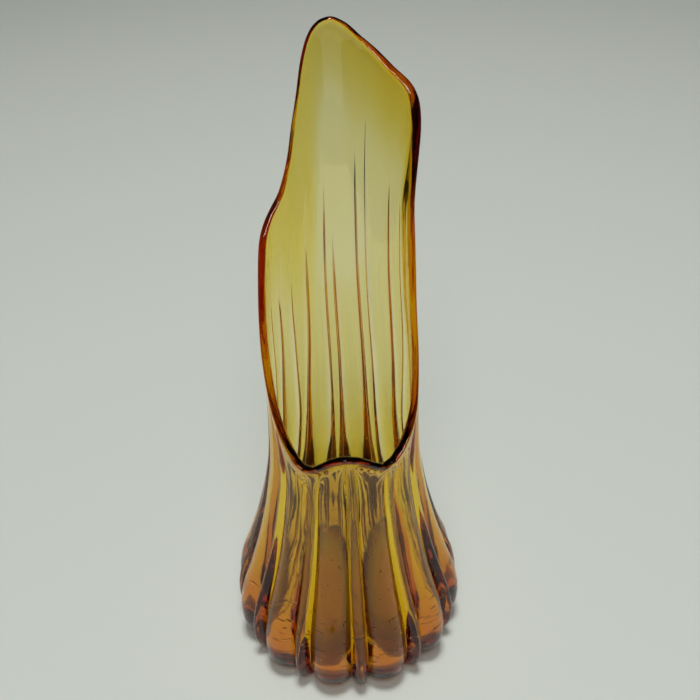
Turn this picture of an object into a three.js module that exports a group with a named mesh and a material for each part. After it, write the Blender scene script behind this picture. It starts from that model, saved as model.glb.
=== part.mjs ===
// Swung vase in amber glass: a ribbed bulb drawn up into a tube with a steeply slanted mouth.
// Millimetres, +Z up, resting face at z = 0, low front lip toward -Y. Angles run from the front toward +X.
import * as THREE from 'three';

const { degToRad, euclideanModulo, lerp, radToDeg, smoothstep } = THREE.MathUtils;

// Ribs round the bulb: wide and narrow ones in turn
const RIB_PAIRS = 12;
const PAIR_ANGLE = 360 / RIB_PAIRS;
const NARROW_CENTRE = 4.8;
const NARROW_HALF = 4.3;
const WIDE_HALF = PAIR_ANGLE / 2 - NARROW_HALF;
const NARROW_RISE = 0.9;
const NARROW_STEPS = 4;
const WIDE_STEPS = 8;

// Heights where one zone of the glass meets the next
const FLOOR_TOP = 3.6;
const BULB_TOP = 90;
const NECK_TOP = 113;

// The bulb is a little deeper from front to back than across
const OVAL_GAIN = 3.5;
const OVAL_START = 20;
const OVAL_END = 90;

// The tube leans a little to one side above the neck
const TUBE_LEAN = -1;
const LEAN_START = 150;
const LEAN_END = 215;

// The right corner of the mouth flares outward
const FLARE = 3;
const FLARE_ANGLE = 108;
const FLARE_SPREAD = 18;
const FLARE_START = 245;
const FLARE_END = 292;

// The edge of the mouth turns outward in front and inward behind
const LIP_TURN = 0.5;
const LIP_SWING = 2.9;
const LIP_REACH = 6;

// Below the mouth the wall gets thinner and the ribs come in
const MOUTH_ZONE = 40;
const RIB_FADE = 12;

// Bead along the mouth, in multiples of half the wall
const FRONT_SWELL = 1.1;
const BACK_SWELL = 1.04;
const BEAD_SKIRT = 2;
const BEAD_POWER = 0.75;
const BEAD_STEPS = 8;

// Outer radius on the ridges, by height
const ridgeRadius = smoothCurve([
  [0, 48], [0.6, 51], [1.6, 53.6], [3.5, 56.2], [6.5, 58.8], [11, 60.9], [16, 61.8], [22, 61.9], [34, 60.2],
  [52, 54.2], [72, 48], [96, 42.3], [125, 38.3], [156, 37.1], [185, 36.3], [215, 35.2], [247, 34.9],
  [270, 35.7], [290, 36.8], [325, 38],
]);

// Depth of the grooves, by height
const grooveDepth = smoothCurve([
  [0, 4.6], [10, 6], [25, 6.4], [50, 5], [72, 3.6], [90, 2.7], [118, 2], [160, 1.5], [220, 1.15], [280, 0.9],
  [320, 0.6],
]);

// Power of the rib's section, by height: round on the bulb, flat with sharp creases on the drawn wall
const ribPower = smoothCurve([[0, 2.2], [60, 2.2], [115, 2.8], [170, 5], [240, 9], [320, 14]]);

// Height where the grooves end, by angle
const GROOVE_FADE = 45;
const grooveEnd = smoothCurve([
  [60, 230], [110, 245], [129, 268], [150.5, 296], [159, 285], [180.5, 238], [189, 262], [210.5, 240],
  [219, 212], [240.5, 208], [290, 200],
], 360);

// How far the swinging moved the grooves round the drawn wall, by angle
const DRIFT_END = 190;
const ribDrift = smoothCurve([
  [99, 0], [120.5, -4.3], [129, 1.7], [150.5, 3.6], [159, 2.6], [180.5, 2], [189, 1], [210.5, -3.7],
  [219, 3.2], [240.5, -4.9], [249, 0], [300, 0],
], 360);

// Inner radius of the bulb, by height, and height of its domed floor, by radius
const bulbCavity = smoothCurve([
  [FLOOR_TOP, 38], [4.6, 43.5], [7, 47.8], [12, 51], [20, 52.6], [30, 52.2], [40, 50.7], [52, 47.6], [72, 43],
  [BULB_TOP, 39.9],
]);
const floorDome = smoothCurve([[0, 7], [20, 6.8], [28, 5.9], [33, 4.7], [bulbCavity(FLOOR_TOP), FLOOR_TOP]]);

// Wall thickness above the bulb, by height, from the ridges inward, and at the mouth, by angle
const drawnThickness = smoothCurve([[BULB_TOP, 3.7], [118, 2.7], [150, 2], [200, 1.7], [320, 1.9]]);
const mouthThickness = smoothCurve([
  [0, 5], [33, 4.8], [54, 4.2], [70, 3.3], [98, 3], [108, 4.4], [122, 4.8], [140, 4.6], [180, 4.2], [215, 3.4],
  [260, 3.3], [300, 3.8], [330, 4.8],
], 360);

// Height of the bead's centre, by angle: front lip, right corner, tip, left corner
const mouthHeight = smoothCurve([
  [0, 143.6], [8, 142.6], [15, 140], [22, 136.8], [29, 134.5], [36, 135.2], [44, 138.4], [54, 144.4], [66, 156],
  [73, 170.5], [81, 194], [98, 251.5], [107, 286], [111, 295], [117, 300.3], [133, 306.6], [147, 312.6],
  [158, 317], [171, 322.8], [179, 324.5], [185, 323.6], [190, 321.2], [195, 316], [199.5, 307.5], [205, 292.3],
  [211, 278.6], [216.5, 266], [222, 257.5], [229, 250.4], [238, 245.8], [249, 240.4], [258, 234], [267, 220],
  [284, 187], [296, 166], [305, 154.4], [313, 146], [321, 139.2], [326, 136], [331, 134.6], [337, 135.3],
  [344, 138.2], [352, 142],
], 360);

const glass = new THREE.MeshStandardMaterial({ color: 0xb5832a, roughness: 0.06, metalness: 0 });
const vase = new THREE.Group();
vase.name = 'swung_vase';

// Cubic curve through points that never overshoots them; a period joins its ends
function smoothCurve(points, period = 0) {
  const wrap = period ? 2 : 0;
  const head = points.slice(points.length - wrap).map(([x, y]) => [x - period, y]);
  const tail = points.slice(0, wrap).map(([x, y]) => [x + period, y]);
  const knots = [...head, ...points, ...tail];
  const width = knots.slice(1).map(([x], i) => x - knots[i][0]);
  const slope = knots.slice(1).map(([, y], i) => (y - knots[i][1]) / width[i]);
  const tangent = knots.map((_, i) => {
    if (i === 0) return slope[0];
    if (i === knots.length - 1) return slope[i - 1];
    const [before, after] = [slope[i - 1], slope[i]];
    if (before * after <= 0) return 0;
    const [first, second] = [2 * width[i] + width[i - 1], width[i] + 2 * width[i - 1]];
    return (first + second) / (first / before + second / after);
  });
  return (at) => {
    const x = period ? euclideanModulo(at, period) : at;
    const next = knots.findIndex(([knot]) => knot > x);
    const i = Math.max(0, (next < 0 ? knots.length - 1 : next) - 1);
    const t = (x - knots[i][0]) / width[i];
    const rise = t * t * (3 - 2 * t);
    const bend = t * (1 - t) * width[i] * ((1 - t) * tangent[i] - t * tangent[i + 1]);
    return lerp(knots[i][1], knots[i + 1][1], rise) + bend;
  };
}

// 0 on a wide ridge, 1 in a groove
function ribShape(column, z) {
  const turn = euclideanModulo(column - NARROW_CENTRE + PAIR_ANGLE / 2, PAIR_ANGLE);
  const offset = Math.abs(turn - PAIR_ANGLE / 2);
  const power = ribPower(z);
  if (offset < NARROW_HALF) return 1 - NARROW_RISE * (1 - (offset / NARROW_HALF) ** power);
  return ((PAIR_ANGLE / 2 - offset) / WIDE_HALF) ** power;
}

// 1 in front and behind, 0 at the sides
const endShare = (angle) => Math.cos(degToRad(angle)) ** 2;

const oval = (angle, z) => OVAL_GAIN * endShare(angle) * (1 - smoothstep(z, OVAL_START, OVAL_END));

// Outer radius on a ridge, with the flared corner
function wallRadius(angle, z) {
  const nearCorner = Math.exp(-(((euclideanModulo(angle, 360) - FLARE_ANGLE) / FLARE_SPREAD) ** 2));
  return ridgeRadius(z) + oval(angle, z) + FLARE * nearCorner * smoothstep(z, FLARE_START, FLARE_END);
}

// Rise of the mouth per millimetre round the outside of the wall
function steepness(angle) {
  const rise = (mouthHeight(angle + 0.5) - mouthHeight(angle - 0.5)) / degToRad(1);
  return rise / wallRadius(angle, mouthHeight(angle));
}

// Distance below the mouth, square to its slope
function belowMouth(angle, z) {
  return (mouthHeight(angle) - z) / Math.hypot(1, steepness(angle));
}

// Angle and height of a point some way below the mouth, square to its slope
function besideMouth(angle, below) {
  const z = mouthHeight(angle);
  const slope = steepness(angle);
  const step = below / Math.hypot(1, slope);
  return [angle + radToDeg((step * slope) / wallRadius(angle, z)), z - step];
}

function wallThickness(angle, z) {
  const nearMouth = 1 - smoothstep(belowMouth(angle, z), 0, MOUTH_ZONE);
  return lerp(drawnThickness(z), mouthThickness(angle), nearMouth * smoothstep(z, BULB_TOP, 110));
}

function lipTurn(angle, z) {
  const reach = Math.exp(-Math.max(belowMouth(angle, z), -LIP_REACH / 2) / LIP_REACH);
  return (LIP_TURN + LIP_SWING * Math.cos(degToRad(angle))) * reach;
}

// Outer radius, with the ribs that belong to the mesh column
function outerRadius(column, angle, z) {
  const end = grooveEnd(column);
  const fade = smoothstep(belowMouth(angle, z), 0, RIB_FADE) * (1 - smoothstep(z, end - GROOVE_FADE, end));
  return wallRadius(angle, z) + lipTurn(angle, z) - grooveDepth(z) * ribShape(column, z) * fade;
}

function innerRadius(column, angle, z) {
  if (z < BULB_TOP) return bulbCavity(z) + oval(angle, z);
  return wallRadius(angle, z) + lipTurn(angle, z) - wallThickness(angle, z);
}

function place(radius, angle, z) {
  const turn = degToRad(angle);
  const lean = TUBE_LEAN * smoothstep(z, LEAN_START, LEAN_END);
  return new THREE.Vector3(radius * Math.sin(turn) + lean, -radius * Math.cos(turn), z);
}

// Angles of the mesh columns: every groove is on one
const columns = [];
for (let pair = 0; pair < RIB_PAIRS; pair++) {
  const left = NARROW_CENTRE - NARROW_HALF + pair * PAIR_ANGLE;
  const right = left + 2 * NARROW_HALF;
  for (let i = 0; i < NARROW_STEPS; i++) columns.push(left + (2 * NARROW_HALF * i) / NARROW_STEPS);
  for (let i = 0; i < WIDE_STEPS; i++) columns.push(right + (2 * WIDE_HALF * i) / WIDE_STEPS);
}

const ringsAt = (heights, radiusAt) =>
  heights.map((z) => columns.map((angle) => place(radiusAt(angle, angle, z), angle, z)));

// Ring of the domed floor, at a share of its radius
function floorRing(share) {
  const z = floorDome(bulbCavity(FLOOR_TOP) * share);
  return columns.map((angle) => place(innerRadius(angle, angle, FLOOR_TOP) * share, angle, z));
}

// Ring of the swung wall: level at the neck, alongside the mouth at a share of 1
function wallRing(share, radiusAt) {
  return columns.map((column) => {
    const [skirtAngle, skirtHeight] = besideMouth(column, (BEAD_SKIRT * mouthThickness(column)) / 2);
    const z = lerp(NECK_TOP, skirtHeight, share);
    const drift = ribDrift(column) * smoothstep(z, NECK_TOP, DRIFT_END) * (1 - share ** 4);
    const angle = lerp(column, skirtAngle, share ** 2) + drift;
    return place(radiusAt(column, angle, z), angle, z);
  });
}

// Ring of the bead, below its centre in multiples of half the wall, on side 1 (outside) to -1 (inside)
function beadRing(below, swollen, side) {
  return columns.map((column) => {
    const swell = lerp(BACK_SWELL, FRONT_SWELL, (1 + Math.cos(degToRad(column))) / 2);
    const reach = ((below < 0 ? swell : 1) * mouthThickness(column)) / 2;
    const [angle, z] = besideMouth(column, below * reach);
    const [outside, inside] = [outerRadius(column, angle, z), innerRadius(column, angle, z)];
    const half = ((outside - inside) / 2) * lerp(1, swell, swollen);
    return place((outside + inside) / 2 + side * half, angle, z);
  });
}

// Node from rings of equal length: it closes on itself, or on a centre point at each end
function addNode(name, rings, centres = []) {
  const count = columns.length;
  const points = [...rings.flat(), ...centres];
  const index = [];
  const addQuad = (a, b, c, d) => {
    const flat = points[a].distanceTo(points[c]) <= points[b].distanceTo(points[d]);
    index.push(...(flat ? [a, b, c, a, c, d] : [a, b, d, b, c, d]));
  };
  const bands = centres.length ? rings.length - 1 : rings.length;
  for (let band = 0; band < bands; band++) {
    const low = band * count;
    const high = ((band + 1) % rings.length) * count;
    for (let j = 0; j < count; j++) {
      const k = (j + 1) % count;
      addQuad(low + j, low + k, high + k, high + j);
    }
  }
  if (centres.length) {
    const [first, last] = [rings.length * count, (rings.length - 1) * count];
    for (let j = 0; j < count; j++) {
      const k = (j + 1) % count;
      index.push(first, k, j, first + 1, last + j, last + k);
    }
  }
  const geometry = new THREE.BufferGeometry().setFromPoints(points);
  geometry.setIndex(index);
  geometry.computeVertexNormals();
  const mesh = new THREE.Mesh(geometry, glass.clone());
  mesh.name = name;
  vase.add(mesh);
}

// Floor with the lowest part of the rounded rib ends, flat below and domed inside
addNode(
  'base_pad',
  [...ringsAt([0, 0.6, 1.6, FLOOR_TOP], outerRadius), ...[1, 0.87, 0.74, 0.5].map(floorRing)],
  [new THREE.Vector3(0, 0, 0), new THREE.Vector3(0, 0, floorDome(0))],
);

// Bulb with deep ribs outside and a smooth cavity inside
addNode('ribbed_bulb', [
  ...ringsAt([FLOOR_TOP, 6.5, 11, 16, 22, 29, 38, 50, 63, 76, BULB_TOP], outerRadius),
  ...ringsAt([BULB_TOP, 72, 52, 40, 30, 20, 12, 7, 4.6, FLOOR_TOP], innerRadius),
]);

// Closed neck below the mouth
addNode('drawn_neck', [
  ...ringsAt([BULB_TOP, 101, NECK_TOP], outerRadius),
  ...ringsAt([NECK_TOP, 101, BULB_TOP], innerRadius),
]);

// Wall from the neck to the bead, low in front and tall behind
const wallShares = [0, 0.2, 0.4, 0.6, 0.76, 0.88, 0.95, 1];
addNode('swung_wall', [
  ...wallShares.map((share) => wallRing(share, outerRadius)),
  ...wallShares.toReversed().map((share) => wallRing(share, innerRadius)),
]);

// Fire-polished bead all round the mouth
const beadSkirts = [1, 0.5, 0].map((share) => [BEAD_SKIRT * share, Math.cos((Math.PI / 2) * share) ** 2]);
const beadSections = beadSkirts.map(([below, swollen]) => beadRing(below, swollen, 1));
for (let i = 1; i < BEAD_STEPS; i++) {
  const turn = (Math.PI * i) / BEAD_STEPS;
  const side = Math.sign(Math.cos(turn)) * Math.abs(Math.cos(turn)) ** BEAD_POWER;
  beadSections.push(beadRing(-(Math.sin(turn) ** BEAD_POWER), 1, side));
}
beadSections.push(...beadSkirts.toReversed().map(([below, swollen]) => beadRing(below, swollen, -1)));
addNode('rim_bead', beadSections);

export default vase;
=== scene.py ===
"""Looks of the swung vase in amber glass: +Z up, the low front lip toward -Y.

The glass is worked out in millimetres, and its angles are in degrees from the front toward +X.
"""
import math

import bpy
import numpy as np
from mathutils import Matrix, Vector


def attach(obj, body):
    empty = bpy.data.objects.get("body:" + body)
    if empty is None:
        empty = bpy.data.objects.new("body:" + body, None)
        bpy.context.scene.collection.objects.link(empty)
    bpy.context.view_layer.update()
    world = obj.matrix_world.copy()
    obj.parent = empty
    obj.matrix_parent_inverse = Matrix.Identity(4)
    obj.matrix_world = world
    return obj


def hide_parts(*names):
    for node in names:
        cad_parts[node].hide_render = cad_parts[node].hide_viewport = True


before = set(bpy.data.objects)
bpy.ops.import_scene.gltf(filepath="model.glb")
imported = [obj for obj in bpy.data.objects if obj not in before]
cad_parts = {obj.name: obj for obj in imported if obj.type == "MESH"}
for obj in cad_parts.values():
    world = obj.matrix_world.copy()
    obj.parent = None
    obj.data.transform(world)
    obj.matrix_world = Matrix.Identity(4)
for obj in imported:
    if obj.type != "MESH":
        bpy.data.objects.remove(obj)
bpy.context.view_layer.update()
scene = bpy.context.scene
MM = 0.001

# Ribs round the bulb: wide and narrow ones in turn
RIB_PAIRS = 12
PAIR_ANGLE = 360 / RIB_PAIRS
NARROW_CENTRE = 4.8
NARROW_HALF = 4.3
WIDE_HALF = PAIR_ANGLE / 2 - NARROW_HALF
NARROW_RISE = 0.9

# Heights where one zone of the glass meets the next
FLOOR_TOP = 3.6
BULB_TOP = 90
NECK_TOP = 113

# The bulb is deeper from front to back than across, and this fades out with height
OVAL_GAIN = 3.5
OVAL_START, OVAL_END = 20, 90

# The tube leans to one side, and the right corner of its mouth flares
TUBE_LEAN = -1
LEAN_START, LEAN_END = 150, 215
FLARE = 3
FLARE_ANGLE, FLARE_SPREAD = 108, 18
FLARE_START, FLARE_END = 245, 292

# The drawn wall gets thicker over a zone below the mouth, but not as low as the bulb
MOUTH_ZONE = 40
THICKENING_END = 110

# The edge of the mouth turns outward in front and inward behind
LIP_TURN, LIP_SWING = 0.5, 2.9
LIP_REACH = 6

# Bead along the mouth, in multiples of half the wall
FRONT_SWELL, BACK_SWELL = 1.1, 1.04
BEAD_SKIRT = 2
BEAD_POWER = 0.75

# The ribs fade out below the bead and where each groove ends, and drift round the wall above the neck
RIB_FADE = 12
GROOVE_FADE = 45
DRIFT_END = 190

# Waves and streaks that swinging left in the drawn wall
LONG_WAVE, SHORT_WAVE, STREAK = 0.12, 0.05, 0.02
WAVE_START, WAVE_END = 60, 140

# Amber glass: its tint, how strongly that tint absorbs and how much it bends light
AMBER = (0.965, 0.855, 0, 1)
ABSORPTION = 500
GLASS_IOR = 1.52

# Cords: faint upright lines that the drawing left, as noise per metre along X, Y and Z
CORD_NOISE = (260, 260, 6)
CORD_TINT = (0.985, 0.98, 0.96, 1)
CORD_DEPTH = 0.02

# Chill marks: short level wrinkles low on the bulb
CHILL_NOISE = (110, 110, 520)
CHILL_DEPTH = 0.6
CHILL_TOP, CHILL_FULL = 55, 40


def smooth_curve(points, period=0):
    """Cubic curve through points that never overshoots them; a period joins its ends."""
    knots = np.array(points, float)
    if period:
        knots = np.vstack([knots[-2:] - (period, 0), knots, knots[:2] + (period, 0)])
    x, y = knots.T
    width = np.diff(x)
    slope = np.diff(y) / width
    before, after = slope[:-1], slope[1:]
    same_way = before * after > 0
    first, second = 2 * width[1:] + width[:-1], width[1:] + 2 * width[:-1]
    safe = np.where(same_way, before, 1), np.where(same_way, after, 1)
    middle = np.where(same_way, (first + second) / (first / safe[0] + second / safe[1]), 0)
    tangent = np.concatenate([slope[:1], middle, slope[-1:]])

    def value(at):
        at = np.mod(at, period) if period else np.asarray(at, float)
        i = np.clip(np.searchsorted(x, at, "right") - 1, 0, len(width) - 1)
        t = (at - x[i]) / width[i]
        bend = t * (1 - t) * width[i] * ((1 - t) * tangent[i] - t * tangent[i + 1])
        return y[i] + (y[i + 1] - y[i]) * t * t * (3 - 2 * t) + bend

    return value


# Outer radius on the ridges, by height
ridge_radius = smooth_curve([
    (0, 48), (0.6, 51), (1.6, 53.6), (3.5, 56.2), (6.5, 58.8), (11, 60.9), (16, 61.8), (22, 61.9),
    (34, 60.2), (52, 54.2), (72, 48), (96, 42.3), (125, 38.3), (156, 37.1), (185, 36.3), (215, 35.2),
    (247, 34.9), (270, 35.7), (290, 36.8), (325, 38),
])

# Depth of the grooves, by height
groove_depth = smooth_curve([
    (0, 4.6), (10, 6), (25, 6.4), (50, 5), (72, 3.6), (90, 2.7), (118, 2), (160, 1.5), (220, 1.15),
    (280, 0.9), (320, 0.6),
])

# Power of the rib's section, by height: round on the bulb, flat with sharp creases on the drawn wall
rib_power = smooth_curve([(0, 2.2), (60, 2.2), (115, 2.8), (170, 5), (240, 9), (320, 14)])

# Height where the grooves end, by angle
groove_end = smooth_curve([
    (60, 230), (110, 245), (129, 268), (150.5, 296), (159, 285), (180.5, 238), (189, 262),
    (210.5, 240), (219, 212), (240.5, 208), (290, 200),
], 360)

# How far the swinging moved the ribs round the drawn wall, by angle
rib_drift = smooth_curve([
    (99, 0), (120.5, -4.3), (129, 1.7), (150.5, 3.6), (159, 2.6), (180.5, 2), (189, 1),
    (210.5, -3.7), (219, 3.2), (240.5, -4.9), (249, 0), (300, 0),
], 360)

# Inner radius of the bulb, by height
bulb_cavity = smooth_curve([
    (FLOOR_TOP, 38), (4.6, 43.5), (7, 47.8), (12, 51), (20, 52.6), (30, 52.2), (40, 50.7),
    (52, 47.6), (72, 43), (BULB_TOP, 39.9),
])

# Height of the domed floor inside, by radius
floor_dome = smooth_curve([(0, 7), (20, 6.8), (28, 5.9), (33, 4.7), (38, FLOOR_TOP)])

# Wall thickness above the bulb, from the ridges inward: by height, and at the mouth by angle
drawn_thickness = smooth_curve([(BULB_TOP, 3.7), (118, 2.7), (150, 2), (200, 1.7), (320, 1.9)])
mouth_thickness = smooth_curve([
    (0, 5), (33, 4.8), (54, 4.2), (70, 3.3), (98, 3), (108, 4.4), (122, 4.8), (140, 4.6),
    (180, 4.2), (215, 3.4), (260, 3.3), (300, 3.8), (330, 4.8),
], 360)

# Height of the bead's centre, by angle: front lip, right corner, tip, left corner
mouth_height = smooth_curve([
    (0, 143.6), (8, 142.6), (15, 140), (22, 136.8), (29, 134.5), (36, 135.2), (44, 138.4),
    (54, 144.4), (66, 156), (73, 170.5), (81, 194), (98, 251.5), (107, 286), (111, 295),
    (117, 300.3), (133, 306.6), (147, 312.6), (158, 317), (171, 322.8), (179, 324.5), (185, 323.6),
    (190, 321.2), (195, 316), (199.5, 307.5), (205, 292.3), (211, 278.6), (216.5, 266), (222, 257.5),
    (229, 250.4), (238, 245.8), (249, 240.4), (258, 234), (267, 220), (284, 187), (296, 166),
    (305, 154.4), (313, 146), (321, 139.2), (326, 136), (331, 134.6), (337, 135.3), (344, 138.2),
    (352, 142),
], 360)


def smoothstep(value, start, end):
    t = np.clip((value - start) / (end - start), 0, 1)
    return t * t * (3 - 2 * t)


def rib_shape(angle, z):
    """0 on a wide ridge, 1 in a groove."""
    turn = np.mod(angle - NARROW_CENTRE + PAIR_ANGLE / 2, PAIR_ANGLE)
    offset = np.abs(turn - PAIR_ANGLE / 2)
    power = rib_power(z)
    narrow = 1 - NARROW_RISE * (1 - np.minimum(offset / NARROW_HALF, 1) ** power)
    wide = ((PAIR_ANGLE / 2 - offset) / WIDE_HALF) ** power
    return np.where(offset < NARROW_HALF, narrow, wide)


def wall_thickness(angle, z):
    """The drawn wall is thin and gets thicker near the mouth, which cooled first."""
    near_mouth = 1 - smoothstep(below_mouth(angle, z), 0, MOUTH_ZONE)
    drawn = drawn_thickness(z)
    return drawn + (mouth_thickness(angle) - drawn) * near_mouth * smoothstep(z, BULB_TOP, THICKENING_END)


def oval(angle, z):
    return OVAL_GAIN * np.cos(np.radians(angle)) ** 2 * (1 - smoothstep(z, OVAL_START, OVAL_END))


def wall_radius(angle, z):
    """Outer radius on a ridge, with the flared corner."""
    near_corner = np.exp(-(((np.mod(angle, 360) - FLARE_ANGLE) / FLARE_SPREAD) ** 2))
    return ridge_radius(z) + oval(angle, z) + FLARE * near_corner * smoothstep(z, FLARE_START, FLARE_END)


def steepness(angle):
    """Rise of the mouth per millimetre round the outside of the wall."""
    rise = (mouth_height(angle + 0.5) - mouth_height(angle - 0.5)) / math.radians(1)
    return rise / wall_radius(angle, mouth_height(angle))


def below_mouth(angle, z):
    """Distance below the mouth, square to its slope."""
    return (mouth_height(angle) - z) / np.hypot(1, steepness(angle))


def beside_mouth(angle, below):
    """Angle and height of a point some way below the mouth, square to its slope."""
    z = mouth_height(angle)
    slope = steepness(angle)
    step = below / np.hypot(1, slope)
    return angle + np.degrees(step * slope / wall_radius(angle, z)), z - step


def lip_turn(angle, z):
    """How far the edge of the mouth is turned outward."""
    reach = np.exp(-np.maximum(below_mouth(angle, z), -LIP_REACH / 2) / LIP_REACH)
    return (LIP_TURN + LIP_SWING * np.cos(np.radians(angle))) * reach


def ripple(angle, z, phase):
    """Small waves and streaks in the drawn wall, other ones for each phase."""
    turn = np.radians(angle)
    long_wave = np.sin(3 * turn + 0.021 * z + phase) * np.sin(0.047 * z + 2 * phase)
    short_wave = np.sin(11 * turn - 0.034 * z + 3 * phase) * np.cos(0.013 * z - phase)
    streak = np.sin(37 * turn + 0.012 * z + phase) * np.sin(5 * turn + 2 * phase)
    waves = LONG_WAVE * long_wave + SHORT_WAVE * short_wave + STREAK * streak
    return waves * smoothstep(z, WAVE_START, WAVE_END)


def outer_radius(angle, z):
    """Outer radius, with the ribs that belong to the mesh columns."""
    end = groove_end(columns)
    fade = smoothstep(below_mouth(angle, z), 0, RIB_FADE) * (1 - smoothstep(z, end - GROOVE_FADE, end))
    ribs = groove_depth(z) * rib_shape(columns, z) * fade
    return wall_radius(angle, z) - ribs + lip_turn(angle, z) + ripple(angle, z, 0.4)


def inner_radius(angle, z):
    """Inner radius: the pressed cavity in the bulb, the outside less the wall above it."""
    drawn = wall_radius(angle, z) - wall_thickness(angle, z) + lip_turn(angle, z)
    return np.where(z < BULB_TOP, bulb_cavity(z) + oval(angle, z), drawn) + ripple(angle, z, 1.9)


def place(radius, angle, z):
    """Points of a row, with the lean of the tube."""
    turn = np.radians(angle)
    x = radius * np.sin(turn) + TUBE_LEAN * smoothstep(z, LEAN_START, LEAN_END)
    return np.stack([x, -radius * np.cos(turn), z + 0 * turn], axis=-1)


def spaced(steps):
    """Shares from 0 up to 1, without 1, closest together at both ends."""
    return (1 - np.cos(np.pi * np.arange(steps) / steps)) / 2


# Angles of the mesh columns: every groove is on one, and they are closest together there
grooves = NARROW_CENTRE - NARROW_HALF + PAIR_ANGLE * np.arange(RIB_PAIRS)[:, None]
narrow_columns = 2 * NARROW_HALF * spaced(12)
wide_columns = 2 * NARROW_HALF + 2 * WIDE_HALF * spaced(22)
columns = (grooves + np.concatenate([narrow_columns, wide_columns])).ravel()

# Rows that the outside and the inside of the glass share
neck_heights = np.linspace(BULB_TOP, NECK_TOP, 12)[1:-1]
wall_shares = 1 - (1 - np.linspace(0, 1, 48)) ** 1.4


def level_rows(heights, radius_at):
    return [place(radius_at(columns, z), columns, z) for z in heights]


def wall_row(share, radius_at):
    """Row of the swung wall: level at the neck, alongside the mouth at a share of 1."""
    half = wall_thickness(columns, mouth_height(columns)) / 2
    skirt_angle, skirt_z = beside_mouth(columns, BEAD_SKIRT * half)
    z = NECK_TOP + (skirt_z - NECK_TOP) * share
    drift = rib_drift(columns) * smoothstep(z, NECK_TOP, DRIFT_END) * (1 - share**4)
    angle = columns + (skirt_angle - columns) * share**2 + drift
    return place(radius_at(angle, z), angle, z)


def bead_row(below, swollen, side):
    """Row of the bead, below its centre in multiples of half the wall, on side 1 (outside) to -1."""
    half = wall_thickness(columns, mouth_height(columns)) / 2
    swell = BACK_SWELL + (FRONT_SWELL - BACK_SWELL) * (1 + np.cos(np.radians(columns))) / 2
    angle, z = beside_mouth(columns, below * half * np.where(below < 0, swell, 1))
    outside, inside = outer_radius(angle, z), inner_radius(angle, z)
    radius = (outside + inside) / 2 + side * (1 + (swell - 1) * swollen) * (outside - inside) / 2
    return place(radius, angle, z)


def underside_rows():
    """Flat resting face, from its middle outward."""
    edge = outer_radius(columns, 0)
    return [place(edge * share, columns, 0) for share in (0.02, 0.35, 0.65, 0.88, 0.96, 0.99, 0.998)]


def outside_rows():
    """Outside of the foot, bulb, neck and swung wall, from the bottom up."""
    foot = [0, 0.1, 0.25, 0.5, 0.8, 1.4, 2.1, 2.8]
    rows = level_rows([*foot, *np.linspace(FLOOR_TOP, BULB_TOP, 38), *neck_heights], outer_radius)
    return rows + [wall_row(share, outer_radius) for share in wall_shares[:-1]]


def bead_rows():
    """Bead along the mouth, from outside over the edge to the inside."""
    skirt = np.linspace(BEAD_SKIRT, 0, 9)
    swollen = np.cos(np.pi / 2 * skirt / BEAD_SKIRT) ** 2
    rows = [bead_row(b, s, 1) for b, s in zip(skirt, swollen)]
    for turn in np.radians(np.linspace(0, 180, 15)[1:-1]):
        side = math.copysign(abs(math.cos(turn)) ** BEAD_POWER, math.cos(turn))
        rows.append(bead_row(-math.sin(turn) ** BEAD_POWER, 1, side))
    return rows + [bead_row(b, s, -1) for b, s in zip(skirt[::-1], swollen[::-1])]


def inside_rows():
    """Inside of the swung wall, neck and bulb, from the top down, and the domed floor."""
    rows = [wall_row(share, inner_radius) for share in wall_shares[-2::-1]]
    cavity_start = 84
    cavity = FLOOR_TOP + (cavity_start - FLOOR_TOP) * np.linspace(1, 0.04, 24) ** 2
    rows += level_rows([*neck_heights[::-1], BULB_TOP, *cavity], inner_radius)
    floor_edge = inner_radius(columns, FLOOR_TOP)
    for share in (1, 0.96, 0.91, 0.86, 0.8, 0.72, 0.62, 0.5, 0.35, 0.2, 0.02):
        rows.append(place(floor_edge * share, columns, floor_dome(bulb_cavity(FLOOR_TOP) * share)))
    return rows


def shell_mesh(name, rows):
    """Closed mesh from rows of equal length, with a point in the middle of the first and the last."""
    count = rows.shape[1]
    points = np.vstack([rows.reshape(-1, 3), rows[0].mean(0), rows[-1].mean(0)])
    low = np.arange((len(rows) - 1) * count).reshape(-1, count)
    right = np.roll(low, -1, axis=1)
    quads = np.stack([low, right, right + count, low + count], axis=-1).reshape(-1, 4)
    start = np.arange(count)
    end = start + (len(rows) - 1) * count
    first, last = np.full(count, len(points) - 2), np.full(count, len(points) - 1)
    first_cap = np.stack([first, np.roll(start, -1), start], axis=-1)
    last_cap = np.stack([last, end, np.roll(end, -1)], axis=-1)
    mesh = bpy.data.meshes.new(name)
    mesh.from_pydata(points * MM, [], quads.tolist() + first_cap.tolist() + last_cap.tolist())
    mesh.validate()
    mesh.shade_smooth()
    return mesh


def add_object(name, data):
    made = bpy.data.objects.new(name, data)
    scene.collection.objects.link(made)
    return made


def new_material(name):
    material = bpy.data.materials.new(name)
    material.use_nodes = True
    return material


def noise_mask(nodes, links, point, stretch, detail, low, high):
    """Noise on stretched coordinates, 0 below one level and 1 above another."""
    stretched = nodes.new("ShaderNodeVectorMath")
    stretched.operation = "MULTIPLY"
    stretched.inputs[1].default_value = stretch
    links.new(point, stretched.inputs[0])
    noise = nodes.new("ShaderNodeTexNoise")
    noise.inputs["Scale"].default_value = 1
    noise.inputs["Detail"].default_value = detail
    links.new(stretched.outputs["Vector"], noise.inputs["Vector"])
    mask = nodes.new("ShaderNodeMapRange")
    mask.interpolation_type = "SMOOTHSTEP"
    mask.inputs["From Min"].default_value = low
    mask.inputs["From Max"].default_value = high
    links.new(noise.outputs["Fac"], mask.inputs["Value"])
    return mask.outputs["Result"]


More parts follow.
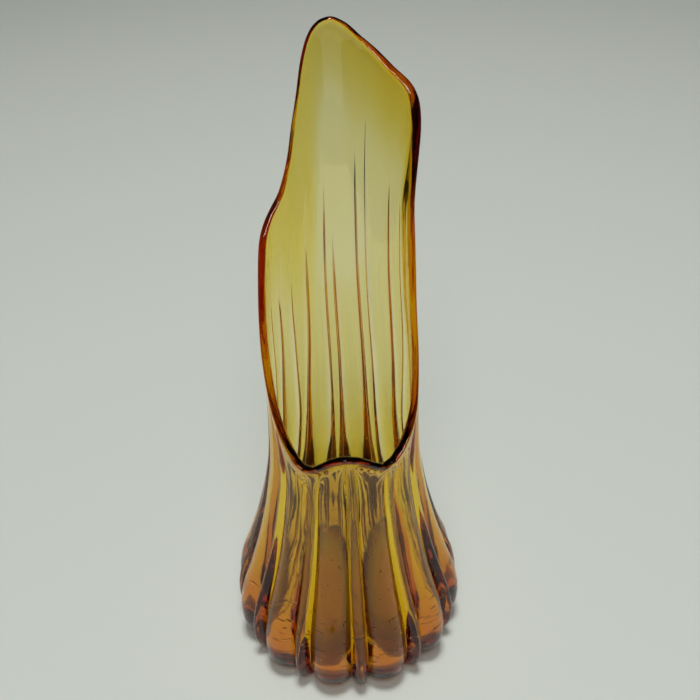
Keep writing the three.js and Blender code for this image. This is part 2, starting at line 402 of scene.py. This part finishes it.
def low_on_bulb(nodes, links, point, mask):
    """The mask where the chill marks are, and 0 higher up."""
    height = nodes.new("ShaderNodeSeparateXYZ")
    links.new(point, height.inputs["Vector"])
    low_down = nodes.new("ShaderNodeMapRange")
    low_down.inputs["From Min"].default_value = CHILL_TOP * MM
    low_down.inputs["From Max"].default_value = CHILL_FULL * MM
    links.new(height.outputs["Z"], low_down.inputs["Value"])
    both = nodes.new("ShaderNodeMath")
    both.operation = "MULTIPLY"
    links.new(mask, both.inputs[0])
    links.new(low_down.outputs["Result"], both.inputs[1])
    return both.outputs["Value"]


def add_bump(nodes, links, height, depth, under=None):
    """Raised pattern, on top of another one."""
    bump = nodes.new("ShaderNodeBump")
    bump.inputs["Distance"].default_value = depth * MM
    links.new(height, bump.inputs["Height"])
    if under:
        links.new(under, bump.inputs["Normal"])
    return bump.outputs["Normal"]


def amber_glass():
    material = new_material("amber_glass")
    nodes, links = material.node_tree.nodes, material.node_tree.links
    shader = nodes["Principled BSDF"]
    point = nodes.new("ShaderNodeTexCoord").outputs["Object"]
    cords = noise_mask(nodes, links, point, CORD_NOISE, 2, 0.3, 0.7)
    tint = nodes.new("ShaderNodeValToRGB")
    tint.color_ramp.elements[0].color = CORD_TINT
    links.new(cords, tint.inputs["Fac"])
    links.new(tint.outputs["Color"], shader.inputs["Base Color"])
    wrinkles = noise_mask(nodes, links, point, CHILL_NOISE, 0, 0.735, 0.79)
    chill_marks = low_on_bulb(nodes, links, point, wrinkles)
    drawn = add_bump(nodes, links, cords, CORD_DEPTH)
    links.new(add_bump(nodes, links, chill_marks, CHILL_DEPTH, drawn), shader.inputs["Normal"])
    shader.inputs["Transmission Weight"].default_value = 1
    shader.inputs["Roughness"].default_value = 0
    shader.inputs["IOR"].default_value = GLASS_IOR
    absorb = nodes.new("ShaderNodeVolumeAbsorption")
    absorb.inputs["Color"].default_value = AMBER
    absorb.inputs["Density"].default_value = ABSORPTION
    links.new(absorb.outputs["Volume"], nodes["Material Output"].inputs["Volume"])
    return material


def floor_paint():
    material = new_material("floor_paint")
    shader = material.node_tree.nodes["Principled BSDF"]
    shader.inputs["Base Color"].default_value = (0.62, 0.655, 0.595, 1)
    shader.inputs["Roughness"].default_value = 0.9
    return material


# The glass is one closed mesh, because faces between its zones would show as lines
rows = np.array(underside_rows() + outside_rows() + bead_rows() + inside_rows())
glass = add_object("vase_glass", shell_mesh("vase_glass", rows))
glass.data.materials.append(amber_glass())
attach(glass, "root")
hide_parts("base_pad", "ribbed_bulb", "drawn_neck", "swung_wall", "rim_bead")

# Pale floor, narrow in front, a little below the resting face so that the two don't share a plane
FLOOR_GAP = 0.3
FRONT_EDGE, BACK_EDGE = -0.65, 1.5
FRONT_HALF, BACK_HALF = 0.22, 0.66
corners = [
    (-FRONT_HALF, FRONT_EDGE, 0), (FRONT_HALF, FRONT_EDGE, 0),
    (BACK_HALF, BACK_EDGE, 0), (-BACK_HALF, BACK_EDGE, 0),
]
floor_mesh = bpy.data.meshes.new("floor")
floor_mesh.from_pydata(corners, [], [(0, 1, 2, 3)])
floor_mesh.materials.append(floor_paint())
floor = add_object("floor", floor_mesh)
floor.location.z = -FLOOR_GAP * MM


def add_softbox(name, location, target, side, power, spread):
    """Square lamp that faces a target."""
    light = bpy.data.lights.new(name, "AREA")
    light.shape = "SQUARE"
    light.size = side
    light.energy = power
    light.spread = math.radians(spread)
    lamp = add_object(name, light)
    lamp.location = location
    aim = Vector(target) - Vector(location)
    lamp.rotation_euler = aim.to_track_quat("-Z", "Y").to_euler()


add_softbox("key", (0, -1.3, 2), target=(0, 0, 0), side=0.9, power=18, spread=180)
add_softbox("top", (0, -0.15, 2.4), target=(0, 0, 0), side=0.5, power=34, spread=180)
add_softbox("backdrop", (0, 0.8, 2.6), target=(0, 0.9, 0), side=0.8, power=0.8, spread=60)

# Dim room round the floor
world = bpy.data.worlds.new("room")
scene.world = world
world.use_nodes = True
world.node_tree.nodes["Background"].inputs["Color"].default_value = (0.015, 0.015, 0.017, 1)

# Camera of the photograph
CAMERA_PLACE = (0, -0.3857, 0.4596)
CAMERA_PITCH = math.radians(36)
CAMERA_ROLL = math.radians(-1.773)
camera = add_object("camera", bpy.data.cameras.new("camera"))
camera.data.sensor_width = 36
camera.data.lens = 51.64
camera.data.shift_x = 0.013
camera.data.clip_start = 0.02
right = Vector((1, 0, 0))
upward = Vector((0, math.sin(CAMERA_PITCH), math.cos(CAMERA_PITCH)))
turned_right = math.cos(CAMERA_ROLL) * right + math.sin(CAMERA_ROLL) * upward
turned_up = math.cos(CAMERA_ROLL) * upward - math.sin(CAMERA_ROLL) * right
axes = Matrix((turned_right, turned_up, turned_right.cross(turned_up))).transposed()
camera.matrix_world = Matrix.Translation(CAMERA_PLACE) @ axes.to_4x4()
scene.camera = camera

# Enough bounces for light to pass through many walls of glass
scene.cycles.max_bounces = 32
scene.cycles.transmission_bounces = 32
scene.cycles.glossy_bounces = 12
scene.view_settings.view_transform = "Standard"
